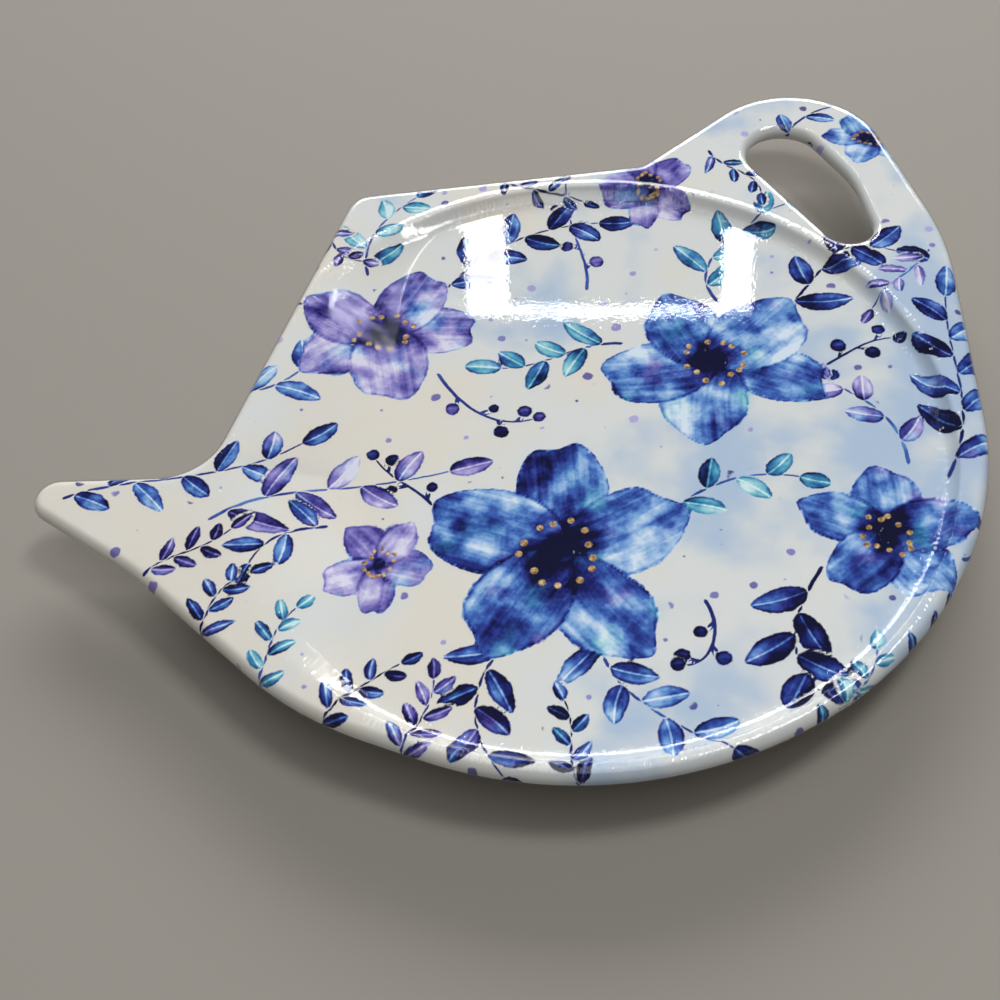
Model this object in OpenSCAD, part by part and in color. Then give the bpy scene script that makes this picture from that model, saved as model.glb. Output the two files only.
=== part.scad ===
// Teapot-shaped tea bag rest. A moulded melamine dish with a spout, a lid edge and a looped
// handle carries a printed foil, which is fused to its top face under a clear glaze coat.
// The outline is a chain of circles joined by their tangents, and the dish is lofted from it.

/* [Belly] */
// Radius of the belly
belly_r = 65; // [60:0.5:72]

/* [Lid edge] */
// How far the lid's straight edge cuts into the belly's circle
lid_cut = 4; // [3:0.25:6]
// How much nearer the lid's edge lies at the handle than at its left corner
lid_fall = 1.5; // [0:0.25:3]
// Radius of the lid's left corner
lid_corner_r = 5; // [3.5:0.5:8]

/* [Spout] */
// How far the tip of the spout stands out from the belly
spout_length = 24.5; // [21:0.5:29]
// Radius of the spout's tip
spout_tip_r = 4; // [3.5:0.25:5]
// Radius of the hollow curve between the spout and the neck
spout_root_r = 10; // [8:0.5:12]
// Radius of the hollow curve under the spout, as a share of the length between its neighbours
spout_under_r_share = 1.17; // [1:0.01:1.4]
// Depth of the hollow curve under the spout, as a share of that length
spout_under_dip_share = 0.029; // [0.02:0.001:0.04]

/* [Handle] */
// Height of the handle's top above the lid's edge
handle_rise = 14; // [12:0.5:17]
// Outer radius of the handle's top
handle_r = 18; // [16.5:0.5:19.5]
// Radius of the hollow corner between the lid and the handle
handle_corner_r = 4; // [3:0.5:6]
// Radius of the hole at the handle's top
hole_top_r = 6.7; // [5.5:0.1:7.5]
// Radius of the hole at the handle's foot
hole_foot_r = 4.3; // [3.5:0.1:5]
// Radius of the hole's outer side, as a share of the length between its top and its foot
hole_side_r_share = 1.1; // [0.9:0.02:1.3]
// How far the hole's outer side bulges out, as a share of that length
hole_side_bulge_share = 0.073; // [0.04:0.001:0.08]
// Width between the well and the hole
hole_margin = 3.4; // [3:0.1:4.5]

/* [Section] */
// Height of the rim above the table
rim_h = 12.5; // [11:0.25:15]
// Thickness of the moulding, which is also the width of its rounded edge
moulding_t = 3; // [2.6:0.1:3.4]
// Radius of the well at the rim's crest, as a share of the belly's radius
well_share = 0.914; // [0.88:0.002:0.92]
// Height of the small wall round the floor of the well
well_wall_h = 1.8; // [1.4:0.1:2.2]
// Width of that wall
well_wall_w = 2.6; // [2:0.1:3.5]
// Width that the wall spreads to below the neck and the spout
well_ramp_w = 24; // [18:1:28]
// How far the floor sags from its edge to its middle
floor_sag = 1.4; // [1:0.1:2]
// Least flat width between the wall's crest and the rounded edge
rim_w = 0.8; // [0.6:0.1:1.5]

/* [Foot ring] */
// Radius of the foot ring, at the middle of its flat
foot_r = 40; // [34:1:46]
// Width of the flat that the dish stands on
foot_w = 3; // [2.5:0.1:4]
// How much wider the ring is at each side where it meets the dish
foot_flare = 1.2; // [0.6:0.1:2]

/* [Print and glaze] */
// Thickness of the printed foil
foil_t = 0.2; // [0.15:0.05:0.3]
// Thickness of the clear glaze coat
glaze_t = 0.3; // [0.2:0.05:0.4]

/* [Hidden] */

// Both skins thin out to this share of their thickness at the widest line of the edge
skin_edge_share = 0.5;
edge_r = moulding_t / 2;
skins_t = foil_t + glaze_t;
edge_inset = edge_r + skins_t * skin_edge_share;
edge_z = rim_h - skins_t - edge_r;
plate_t = skins_t + moulding_t;
well_r = belly_r * well_share;

// Radii and places of the circles, as shares of the size that each follows
left_r_share = 0.9155;
right_r_share = 0.908;
belly_rise_share = 0.054;
left_place_shares = [-0.154, 0.0385];
right_place_shares = [0.17, 0.523];
handle_side_share = 0.754;
handle_corner_share = 0.3;
lid_corner_share = 0.485;
spout_root_shares = [0.76, 0.128];
spout_tip_drop_share = 0.0055;
spout_under_share = 0.42;
hole_top_shares = [-0.08, 0.038];
hole_side_share = 0.5;
hole_foot_angle = 35.8;

lid_reach = belly_r * (1 + belly_rise_share) - lid_cut;
spout_reach = belly_r + spout_length;
handle_at = [belly_r * handle_side_share, lid_reach + handle_rise - handle_r];

// Each circle is [place, radius, side]: side is 1 where the outline goes round it and -1 in a hollow
left_circle = [belly_r * left_place_shares, belly_r * left_r_share, 1];
tip_circle = [[spout_tip_r - spout_reach, -spout_reach * spout_tip_drop_share], spout_tip_r, 1];
circles = [
    [[0, belly_r * belly_rise_share], belly_r, 1],
    [belly_r * right_place_shares, belly_r * right_r_share, 1],
    [handle_at, handle_r, 1],
    [[belly_r * handle_corner_share, lid_reach - lid_fall + handle_corner_r], handle_corner_r, -1],
    [[-belly_r * lid_corner_share, lid_reach - lid_corner_r], lid_corner_r, 1],
    [[-spout_reach * spout_root_shares.x, spout_reach * spout_root_shares.y], spout_root_r, -1],
    tip_circle,
    curve_between(tip_circle, left_circle, spout_under_share, -spout_under_dip_share, spout_under_r_share),
    left_circle
];
hole_foot = [(well_r + hole_margin + hole_foot_r) * heading(hole_foot_angle), hole_foot_r, 1];
hole_top = [handle_at + handle_r * hole_top_shares, hole_top_r, 1];
hole_circles = [
    hole_foot,
    curve_between(hole_foot, hole_top, hole_side_share, hole_side_bulge_share, hole_side_r_share),
    hole_top
];

// Steps of the facets: degrees on wide and on tight curves, and a length on straight runs
wide_turn = 7.5;
tight_turn = 15;
run_step = belly_r / 8;

function heading(angle) = [cos(angle), sin(angle)];

// Direction, square to it and outwards, of the tangent from one circle to the next
function tangent_normal(a, b) =
    let (d = b[0] - a[0])
    atan2(d.y, d.x) - acos((a[2] * a[1] - b[2] * b[1]) / norm(d));

function on_circle(c, angle) = c[0] + c[2] * c[1] * heading(angle);

// A circle at a share of the tangent of two others, which bulges out of it or dips into it (below 0);
// its bulge and its radius are shares of the tangent's length
function curve_between(a, b, share, bulge_share, r_share) =
    let (
        angle = tangent_normal(a, b),
        p = on_circle(a, angle),
        q = on_circle(b, angle),
        side = sign(bulge_share),
        in_from_tangent = side * r_share - bulge_share
    )
    [p + (q - p) * share - in_from_tangent * norm(q - p) * heading(angle), norm(q - p) * r_share, side];

function turn_of(c) = c[1] > belly_r / 2 ? wide_turn : tight_turn;

// Angle swept from one heading to another, the way that the circle's side asks
function sweep(from, to, side) =
    let (turn = side * (to - from), whole = turn - 360 * floor(turn / 360))
    side * whole;

// Points [place, outward heading] along one circle and the straight run that follows it
function leg(list, i) =
    let (
        c = list[i],
        next = list[(i + 1) % len(list)],
        before = list[(i + len(list) - 1) % len(list)],
        from = tangent_normal(before, c),
        to = tangent_normal(c, next),
        turn = sweep(from, to, c[2]),
        turns = ceil(abs(turn) / turn_of(c)),
        start = on_circle(c, to),
        end = on_circle(next, to),
        runs = ceil(norm(end - start) / run_step)
    )
    concat(
        [for (k = [0:turns]) [on_circle(c, from + turn * k / turns), from + turn * k / turns]],
        [for (k = [1:1:runs - 1]) [start + (end - start) * k / runs, to]]
    );

function outline(list) = [for (i = [0:len(list) - 1]) each leg(list, i)];

edge = outline(circles);
edge_count = len(edge);
xs = [for (p = edge) p[0].x];
ys = [for (p = edge) p[0].y];
footprint_middle = [(min(xs) + max(xs)) / 2, (min(ys) + max(ys)) / 2];

// The loft runs along spokes from a hub that sees the whole outline, a little in front of the well's middle
hub = [0, -belly_r * 0.185];

// The middle line of the rounded edge, where the flat of the rim begins
function rim_place(i) = edge[i][0] - edge_inset * heading(edge[i][1]);

// Where a spoke meets the circle of the well's crest
function crest_reach(direction) =
    let (along = -hub * direction)
    along + sqrt(along * along - hub * hub + well_r * well_r);

// 1 towards the neck and the spout, 0 elsewhere: there the wall widens into a ramp
ramp_middle = 163;
ramp_half_width = 30;
ramp_fade = 30;
function ramp_amount(direction) =
    let (
        off = abs(atan2(direction.y, direction.x) - ramp_middle),
        away = min(off, 360 - off),
        t = min(1, max(0, (ramp_half_width + ramp_fade - away) / ramp_fade))
    )
    t * t * (3 - 2 * t);

// Height of the floor of the well, in the glaze's surface
function floor_z(p) =
    rim_h - well_wall_h - floor_sag * (1 - pow(norm(p) / (well_r - well_wall_w), 2));

// Stations of the loft, from the hub outwards: shares of the floor, then of the wall
floor_shares = [0.35, 0.7, 1];
wall_shares = [0.25, 0.5, 0.75, 1];
edge_angles = [60, 30, 0];

function floor_point(i, share) =
    let (
        out = rim_place(i) - hub,
        direction = out / norm(out),
        crest = min(crest_reach(direction), norm(out) - rim_w),
        width = well_wall_w + (well_ramp_w - well_wall_w) * ramp_amount(direction),
        p = hub + direction * (crest - width) * share
    )
    [p.x, p.y, floor_z(p)];

function wall_point(i, share) =
    let (
        out = rim_place(i) - hub,
        direction = out / norm(out),
        crest = min(crest_reach(direction), norm(out) - rim_w),
        low = floor_point(i, 1),
        high = hub + direction * crest,
        p = [low.x, low.y] + (high - [low.x, low.y]) * share,
        soft = ramp_amount(direction),
        climb = share * share * (1 + soft * (2 - 2 * share))
    )
    [p.x, p.y, low.z + (rim_h - low.z) * climb];

// Points of the rounded edge: half width across, half height up or down, at an angle above the level
function edge_point(i, across, up, angle) =
    let (p = rim_place(i) + across * cos(angle) * heading(edge[i][1]))
    [p.x, p.y, edge_z + up * sin(angle)];

function lowered(p, by) = [p.x, p.y, p.z - by];

// Every ring of one surface, from the hub outwards, a depth below the glaze's surface
function rings(depth, across, up) = [
    for (share = floor_shares) [for (i = [0:edge_count - 1]) lowered(floor_point(i, share), depth)],
    for (share = wall_shares) [for (i = [0:edge_count - 1]) lowered(wall_point(i, share), depth)],
    [for (i = [0:edge_count - 1]) edge_point(i, across, up, 90)],
    for (angle = edge_angles) [for (i = [0:edge_count - 1]) edge_point(i, across, up, angle)]
];

ring_count = len(floor_shares) + len(wall_shares) + len(edge_angles) + 1;

function surface_points(depth, across, up, count) = concat(
    [[hub.x, hub.y, floor_z(hub) - depth]],
    [for (k = [0:count - 1]) each rings(depth, across, up)[k]]
);

// Triangles of one surface whose points start at a number; the upper side faces up
function surface_faces(first, count, upper) = [
    for (i = [0:edge_count - 1])
        let (j = (i + 1) % edge_count)
        each concat(
            [facing([first, first + 1 + j, first + 1 + i], upper)],
            [for (k = [0:count - 2])
                let (a = first + 1 + k * edge_count, b = a + edge_count)
                each [facing([a + i, b + j, b + i], upper), facing([a + i, a + j, b + j], upper)]]
        )
];

function facing(f, upper) = upper ? f : [f[0], f[2], f[1]];

// A band of triangles that joins one ring of a count of points to the ring below it
function band_faces(count, upper_ring, lower_ring) = [
    for (i = [0:count - 1])
        let (j = (i + 1) % count)
        each [
            [upper_ring + i, upper_ring + j, lower_ring + j],
            [upper_ring + i, lower_ring + j, lower_ring + i]
        ]
];

// A closed shell between two surfaces, each [depth, half width and half height of its edge, rings]
module shell(top, bottom) {
    second = 1 + top[3] * edge_count;
    polyhedron(
        points = concat(
            surface_points(top[0], top[1], top[2], top[3]),
            surface_points(bottom[0], bottom[1], bottom[2], bottom[3])
        ),
        faces = concat(
            surface_faces(0, top[3], true),
            surface_faces(second, bottom[3], false),
            band_faces(edge_count, second - edge_count, second + 1 + (bottom[3] - 1) * edge_count)
        )
    );
}

body_top = [skins_t, edge_r, edge_r, ring_count];
body_bottom = [plate_t, edge_r, -edge_r, ring_count - 1];
foil_top = [glaze_t, edge_r + foil_t * skin_edge_share, edge_r + foil_t, ring_count];
glaze_top = [0, edge_inset, edge_r + skins_t, ring_count];

// The finished part stands on the table, centred over the origin
module placed() {
    translate([-footprint_middle.x, -footprint_middle.y, 0])
        children();
}

// The handle's hole with its rounded edge: rings [height, outward growth] that follow the round
// and run on past both faces of the moulding
hole_edge = outline(hole_circles);
hole_count = len(hole_edge);
function hole_level(angle) = [edge_r * sin(angle), edge_inset - edge_r * cos(angle)];
hole_levels = concat(
    [2 * hole_level(-90) - hole_level(-60)],
    [for (angle = [-60:30:60]) hole_level(angle)],
    [2 * hole_level(90) - hole_level(60)]
);

// Triangles of an end of the hole, in a fan from a point that is on a curve, not on a straight run
hole_cap = [
    for (i = [3:hole_count])
        [2, i % hole_count, (i + 1) % hole_count]
];

module rounded_hole() {
    last = (len(hole_levels) - 1) * hole_count;
    polyhedron(
        points = [for (level = hole_levels, p = hole_edge)
            let (at = p[0] + level[1] * heading(p[1]))
            [at.x, at.y, edge_z + level[0]]],
        faces = concat(
            [for (f = hole_cap) [last + f[0], last + f[2], last + f[1]]],
            hole_cap,
            [for (k = [hole_count:hole_count:last]) each band_faces(hole_count, k, k - hole_count)]
        )
    );
}

// The same hole through a thin skin, which stops where the round begins
module skin_hole() {
    translate([0, 0, edge_z])
        linear_extrude(rim_h)
            polygon([for (p = hole_edge) p[0] + edge_inset * heading(p[1])]);
}

// The ring that the dish stands on, sunk into the underside by half the moulding's thickness
module foot_ring() {
    root_z = floor_z([foot_r, 0]) - plate_t + edge_r;
    rotate_extrude($fn = 96)
        polygon([
            [foot_r - foot_w / 2, 0],
            [foot_r + foot_w / 2, 0],
            [foot_r + foot_w / 2 + foot_flare, root_z],
            [foot_r - foot_w / 2 - foot_flare, root_z]
        ]);
}

module moulded_body() {
    color("white")
        placed() {
            difference() {
                shell(body_top, body_bottom);
                rounded_hole();
            }
            foot_ring();
        }
}

module decor_foil() {
    color("lightsteelblue")
        placed()
            difference() {
                shell(foil_top, body_top);
                skin_hole();
            }
}

module clear_glaze() {
    color("aliceblue", 0.4)
        placed()
            difference() {
                shell(glaze_top, foil_top);
                skin_hole();
            }
}

moulded_body();
decor_foil();
clear_glaze();
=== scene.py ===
import math

import bmesh
import bpy
import numpy as np
from mathutils import Matrix, Vector, kdtree


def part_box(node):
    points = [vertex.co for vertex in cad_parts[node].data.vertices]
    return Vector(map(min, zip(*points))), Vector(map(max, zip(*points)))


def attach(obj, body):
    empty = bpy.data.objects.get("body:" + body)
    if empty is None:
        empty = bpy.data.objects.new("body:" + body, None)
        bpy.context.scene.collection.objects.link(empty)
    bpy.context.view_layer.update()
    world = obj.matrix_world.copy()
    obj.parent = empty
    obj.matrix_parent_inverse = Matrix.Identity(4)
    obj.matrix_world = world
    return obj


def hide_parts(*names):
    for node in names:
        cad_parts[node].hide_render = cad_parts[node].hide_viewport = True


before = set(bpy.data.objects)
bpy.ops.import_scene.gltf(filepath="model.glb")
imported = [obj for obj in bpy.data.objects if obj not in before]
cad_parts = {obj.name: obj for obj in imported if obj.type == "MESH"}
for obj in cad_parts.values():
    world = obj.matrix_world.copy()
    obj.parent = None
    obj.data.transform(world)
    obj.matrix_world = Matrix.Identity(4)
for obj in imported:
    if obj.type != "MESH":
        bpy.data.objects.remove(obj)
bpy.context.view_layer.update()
print("frame loaded")

mm = 0.001


# Outline of the teapot shape, in mm from the middle of the well: +x to the handle, +y to the lid
outlineSizes = {
    "bellyR": 65.0,
    "bellyRise": 0.054,  # places are shares of the belly's radius
    "leftAt": (-0.154, 0.0385),
    "leftR": 0.9155,
    "rightAt": (0.17, 0.523),
    "rightR": 0.908,
    "lidCut": 4.0,
    "lidFall": 1.5,
    "lidCornerAt": -0.485,
    "lidCornerR": 5.0,
    "spoutLength": 24.5,
    "spoutTipR": 4.0,
    "spoutTipDrop": -0.0055,
    "spoutRootAt": (-0.76, 0.128),  # shares of the spout's reach
    "spoutRootR": 10.0,
    "spoutUnder": (0.42, -0.029, 1.17),  # place, bulge and radius, as shares of the run
    "handleRise": 14.0,
    "handleAt": 0.754,
    "handleR": 18.0,
    "handleCornerAt": 0.3,
    "handleCornerR": 4.0,
    "holeTopAt": (-0.08, 0.038),  # shares of the handle's radius
    "holeTopR": 6.7,
    "holeFootAngle": 35.8,  # degrees
    "holeFootR": 4.3,
    "holeMargin": 3.4,
    "holeSide": (0.5, 0.073, 1.1),
    "hub": -0.185,  # the middle that all spokes of the dish start from
    "wideTurn": 1.5,  # degrees a step on wide curves, then on tight ones
    "tightTurn": 6.0,
    "runStep": 2.0,
}

# Section through the dish, in mm
sectionSizes = {
    "mouldingThick": 3.0,
    "foilThick": 0.2,
    "glazeThick": 0.3,
    "skinEdgeShare": 0.5,  # the skins are this much thinner round the edge
    "wellShare": 0.914,
    "wallHigh": 1.8,
    "wallWide": 2.6,
    "rampWide": 24.0,  # the wall is a gentle ramp towards the spout
    "rampMiddle": 163,  # degrees, as are the next two
    "rampHalf": 30,
    "rampFade": 30,
    "floorSag": 1.4,
    "rimWide": 0.8,
    "crestRound": 0.15,
    "support": 0.3,  # a flat strip that keeps the rim's shading level
    "skinGap": 0.02,  # keeps two skins from sharing one surface
}


def heading(angle):
    return np.array([math.cos(angle), math.sin(angle)])


def smooth(low, high, x):
    t = np.clip((x - low) / (high - low), 0, 1)
    return t * t * (3 - 2 * t)


def tangentNormal(a, b):
    away = b[0] - a[0]
    return math.atan2(away[1], away[0]) - math.acos((a[2] * a[1] - b[2] * b[1]) / np.hypot(*away))


def onCircle(circle, angle):
    return circle[0] + circle[2] * circle[1] * heading(angle)


def curveBetween(a, b, share, bulge, radius):
    angle = tangentNormal(a, b)
    start = onCircle(a, angle)
    run = onCircle(b, angle) - start
    length = np.hypot(*run)
    side = math.copysign(1, bulge)
    middle = start + run * share - (side * radius - bulge) * length * heading(angle)
    return (middle, length * radius, side)


def teapotCircles(s):
    r = s["bellyR"]
    lid = r * (1 + s["bellyRise"]) - s["lidCut"]
    spout = r + s["spoutLength"]
    handle = (np.array([r * s["handleAt"], lid + s["handleRise"] - s["handleR"]]), s["handleR"], 1)
    left = (r * np.array(s["leftAt"]), r * s["leftR"], 1)
    tip = (np.array([s["spoutTipR"] - spout, spout * s["spoutTipDrop"]]), s["spoutTipR"], 1)
    corner = np.array([r * s["handleCornerAt"], lid - s["lidFall"] + s["handleCornerR"]])
    edge = [
        (np.array([0, r * s["bellyRise"]]), r, 1),
        (r * np.array(s["rightAt"]), r * s["rightR"], 1),
        handle,
        (corner, s["handleCornerR"], -1),
        (np.array([r * s["lidCornerAt"], lid - s["lidCornerR"]]), s["lidCornerR"], 1),
        (spout * np.array(s["spoutRootAt"]), s["spoutRootR"], -1),
        tip,
        curveBetween(tip, left, *s["spoutUnder"]),
        left,
    ]
    footReach = r * sectionSizes["wellShare"] + s["holeMargin"] + s["holeFootR"]
    foot = (footReach * heading(math.radians(s["holeFootAngle"])), s["holeFootR"], 1)
    top = (handle[0] + s["handleR"] * np.array(s["holeTopAt"]), s["holeTopR"], 1)
    return edge, [foot, curveBetween(foot, top, *s["holeSide"]), top]


def makeOutline(circles, s, finer=1):
    places = []
    angles = []
    for i, circle in enumerate(circles):
        after = circles[(i + 1) % len(circles)]
        begin = tangentNormal(circles[i - 1], circle)
        end = tangentNormal(circle, after)
        turn = circle[2] * ((circle[2] * (end - begin)) % (2 * math.pi))
        step = s["wideTurn"] if circle[1] > s["bellyR"] / 2 else s["tightTurn"]
        count = math.ceil(abs(math.degrees(turn)) / step * finer)
        for k in range(count + 1):
            angles.append(begin + turn * k / count)
            places.append(onCircle(circle, angles[-1]))
        run = onCircle(after, end) - onCircle(circle, end)
        count = math.ceil(np.hypot(*run) / s["runStep"] * finer)
        for k in range(1, count):
            angles.append(end)
            places.append(onCircle(circle, end) + run * k / count)
    angles = np.array(angles)
    return np.array(places), np.stack([np.cos(angles), np.sin(angles)], 1)


edgeCircles, holeCircles = teapotCircles(outlineSizes)
edgePlaces, edgeNormals = makeOutline(edgeCircles, outlineSizes)
holePlaces, holeNormals = makeOutline(holeCircles, outlineSizes)
print("outline:", len(edgePlaces), "points, hole:", len(holePlaces), "points")


# Place in the frame: the outline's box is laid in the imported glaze's box
cadLow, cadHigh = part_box("clear_glaze")
outlineLow = edgePlaces.min(0)
outlineHigh = edgePlaces.max(0)
cadMiddle = np.array([(cadLow[i] + cadHigh[i]) / 2 / mm for i in (0, 1)])
fitScale = min((cadHigh[i] - cadLow[i]) / mm / (outlineHigh - outlineLow)[i] for i in (0, 1))
fitShift = cadMiddle - (outlineLow + outlineHigh) / 2 * fitScale
rimHigh = cadHigh.z / mm


def toFrame(points):
    out = np.array(points, float)
    out[:, :2] = out[:, :2] * fitScale + fitShift
    return out * mm


# Heights: each spoke from the hub has a crest, where the well's wall meets the flat rim
hub = np.array([0, outlineSizes["bellyR"] * outlineSizes["hub"]])
wellR = outlineSizes["bellyR"] * sectionSizes["wellShare"]
floorR = wellR - sectionSizes["wallWide"]
edgeR = sectionSizes["mouldingThick"] / 2
skins = sectionSizes["foilThick"] + sectionSizes["glazeThick"]
edgeInset = edgeR + skins * sectionSizes["skinEdgeShare"]
edgeHigh = rimHigh - skins - edgeR


def makeSpokes(places, normals):
    rim = places - edgeInset * normals
    away = rim - hub
    reach = np.hypot(away[:, 0], away[:, 1])
    return {"rim": rim, "normals": normals, "reach": reach, "direction": away / reach[:, None]}


spokes = makeSpokes(edgePlaces, edgeNormals)


def crestReach(direction, reach):
    along = -(direction @ hub)
    circle = along + np.sqrt(along ** 2 - hub @ hub + wellR ** 2)
    return np.minimum(circle, reach - sectionSizes["rimWide"])


def rampShare(direction):
    s = sectionSizes
    off = np.abs(np.degrees(np.arctan2(direction[:, 1], direction[:, 0])) - s["rampMiddle"])
    away = np.minimum(off, 360 - off)
    return smooth(0, s["rampFade"], s["rampHalf"] + s["rampFade"] - away)


def wallWidth(direction):
    s = sectionSizes
    return s["wallWide"] + (s["rampWide"] - s["wallWide"]) * rampShare(direction)


def floorHeight(places):
    share = (places ** 2).sum(1) / floorR ** 2
    return rimHigh - sectionSizes["wallHigh"] - sectionSizes["floorSag"] * (1 - share)


def surfaceHeight(places):
    away = places - hub
    reach = np.maximum(np.hypot(away[:, 0], away[:, 1]), 1e-6)
    direction = away / reach[:, None]
    turn = np.unwrap(np.arctan2(spokes["direction"][:, 1], spokes["direction"][:, 0]))
    angle = turn[0] + (np.arctan2(away[:, 1], away[:, 0]) - turn[0]) % (2 * math.pi)
    loop = np.append(turn, turn[0] + 2 * math.pi)
    reaches = np.append(spokes["reach"], spokes["reach"][0])
    crest = crestReach(direction, np.interp(angle, loop, reaches))
    width = wallWidth(direction)
    foot = hub + direction * (crest - width)[:, None]
    low = floorHeight(foot)
    t = np.clip((reach - crest + width) / width, 0, 1)
    # the wall leaves the floor at its slope, curves up and meets the rim at a soft crest;
    # the ramp towards the spout arrives level instead
    slope = 2 * sectionSizes["floorSag"] * (foot * direction).sum(1) / floorR ** 2
    soft = rampShare(direction)
    fall = (rimHigh - low) * (1 - t * t * ((1 - soft) + soft * (3 - 2 * t)))
    fall -= slope * width * (t ** 3 - 2 * t ** 2 + t)
    fall -= 2 * (rimHigh - low) * (1 - soft) / width * np.maximum(reach - crest, 0)
    k = sectionSizes["crestRound"] * (1 - soft) + 1e-6
    fall = np.where(fall > k, fall, np.where(fall < -k, 0, (fall + k) ** 2 / (4 * k)))
    return np.where(t <= 0, floorHeight(places), rimHigh - fall)


def raised(places, depth):
    return np.column_stack([places, surfaceHeight(places) - depth])


# Half width, half height and depth of each skin's edge, in mm
skinSurfaces = {
    "glazeTop": (0, edgeInset, edgeR + skins),
    "foilTop": (
        sectionSizes["glazeThick"],
        edgeR + sectionSizes["foilThick"] * sectionSizes["skinEdgeShare"],
        edgeR + sectionSizes["foilThick"],
    ),
    "bodyTop": (skins, edgeR, edgeR),
    "bodyBottom": (skins + sectionSizes["mouldingThick"], edgeR, -edgeR),
}


def skinSurface(name, lift=0):
    depth, across, up = skinSurfaces[name]
    return depth - lift, across + lift, up + lift


# A dish sheet is a set of rings, from the hub outwards: floor, wall, rim, then the round edge
ringShares = {
    "floor": [0, 0.06, 0.15, 0.27, 0.4, 0.52, 0.64, 0.75, 0.84, 0.91, 0.96, 1],
    "wall": [0.06, 0.13, 0.21, 0.3, 0.39, 0.48, 0.57, 0.66, 0.74, 0.82, 0.89],
    "crest": [0.3, 0.22, 0.14, 0.07, 0, -0.07, -0.14, -0.22],  # mm inside the crest's line
    "edge": 9,  # steps
}


def edgeRings(places, normals, surface, flat, steps):
    depth, across, up = surface
    out = []
    for k in range(steps + 1):
        angle = math.radians(90 * (1 - k / steps))
        at = places + across * math.cos(angle) * normals
        high = flat if k == 0 else edgeHigh + up * math.sin(angle)
        out.append(np.column_stack([at, np.full(len(at), high)]))
    return out


def sheetRings(spokes, surface, shares):
    direction = spokes["direction"]
    crest = crestReach(direction, spokes["reach"])
    floor = crest - wallWidth(direction)
    support = np.minimum(sectionSizes["support"], 0.35 * (spokes["reach"] - crest))
    reaches = [floor * share for share in shares["floor"]]
    reaches += [floor + (crest - floor) * share for share in shares["wall"]]
    reaches += [crest - inside for inside in shares["crest"]]
    reaches += [crest + support, spokes["reach"] - support]
    rings = [raised(hub + direction * reach[:, None], surface[0]) for reach in reaches]
    flat = rimHigh - surface[0]
    return rings + edgeRings(spokes["rim"], spokes["normals"], surface, flat, shares["edge"])


def holeRings(surface, steps, support=True):
    start = holePlaces + edgeInset * holeNormals
    flat = rimHigh - surface[0]
    rings = edgeRings(start, -holeNormals, surface, flat, steps)
    level = start + sectionSizes["support"] * holeNormals
    return ([np.column_stack([level, np.full(len(level), flat)])] if support else []) + rings


def addStrip(bm, rings, layer, mark):
    # a grid whose columns become rings, rolled up until its last row meets its first
    count = len(rings[0])
    made = bmesh.ops.create_grid(bm, x_segments=len(rings) - 1, y_segments=count, size=0.5)["verts"]
    for v in made:
        ring = round((v.co.x + 0.5) * (len(rings) - 1))
        v[layer] = mark + ring
        v.co = rings[ring][round((v.co.y + 0.5) * count) % count]
    bmesh.ops.remove_doubles(bm, verts=made, dist=1e-8)
    return [v for v in made if v.is_valid]


def bandFaces(bm, layer, ring, away):
    # the rim's flat faces that the handle's hole goes through
    grown = holePlaces + (edgeInset + away) * holeNormals - hub
    angles = np.arctan2(grown[:, 1], grown[:, 0])
    step = 2 * math.pi / len(edgePlaces)
    found = []
    for face in bm.faces:
        if {v[layer] for v in face.verts} != {ring, ring + 1}:
            continue
        at = (np.array(face.calc_center_median()[:2]) / mm - fitShift) / fitScale - hub
        if angles.min() - step < math.atan2(at[1], at[0]) < angles.max() + step:
            found.append(face)
    return found


def openEdges(bm, marks=None, layer=None):
    found = [e for e in bm.edges if len(e.link_faces) == 1]
    return [e for e in found if marks is None or all(v[layer] in marks for v in e.verts)]


def fillBetween(bm, marks, layer):
    around = openEdges(bm, marks, layer)
    bmesh.ops.triangle_fill(bm, edges=around, use_beauty=True, normal=(0, 0, 1))


holeMark = 1000  # the hole's rings are numbered from here
holeClear = 1.2  # mm round the hole whose flat faces are made anew


def joinHole(bm, ring, holeRing, layer):
    bmesh.ops.delete(bm, geom=bandFaces(bm, layer, ring, holeClear), context="FACES")
    fillBetween(bm, (ring, ring + 1, holeRing), layer)


def startShell(top, bottom, sharp):
    first = 0 if sharp else 1  # skins that meet in a round edge share its ring
    rings = sheetRings(spokes, top, ringShares)
    rings += sheetRings(spokes, bottom, ringShares)[::-1][first:]
    hole = holeRings(top, ringShares["edge"])
    hole += holeRings(bottom, ringShares["edge"])[::-1][first:]
    bm = bmesh.new()
    layer = bm.verts.layers.int.new("ring")
    addStrip(bm, [toFrame(r) for r in rings], layer, 0)
    addStrip(bm, [toFrame(r) for r in hole], layer, holeMark)
    # the ring just outside the crest
    band = sum(len(ringShares[name]) for name in ("floor", "wall", "crest"))
    joinHole(bm, band, holeMark, layer)
    joinHole(bm, len(rings) - 2 - band, holeMark + len(hole) - 1, layer)
    return bm


sharpAngle = math.radians(50)


def placeMesh(name, bm):
    mesh = bpy.data.meshes.new(name)
    bm.to_mesh(mesh)
    bm.free()
    made = bpy.data.objects.new(name, mesh)
    bpy.context.scene.collection.objects.link(made)
    return made


def finishPiece(name, bm, body="root"):
    bmesh.ops.recalc_face_normals(bm, faces=bm.faces)
    for face in bm.faces:
        face.smooth = True
    for edge in bm.edges:
        edge.smooth = not edge.is_manifold or edge.calc_face_angle() < sharpAngle
    gaps = len(openEdges(bm))
    piece = placeMesh(name, bm)
    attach(piece, body)
    piece.data.calc_loop_triangles()
    print(name, len(piece.data.loop_triangles), "triangles,", gaps, "open edges")
    return piece


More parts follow.
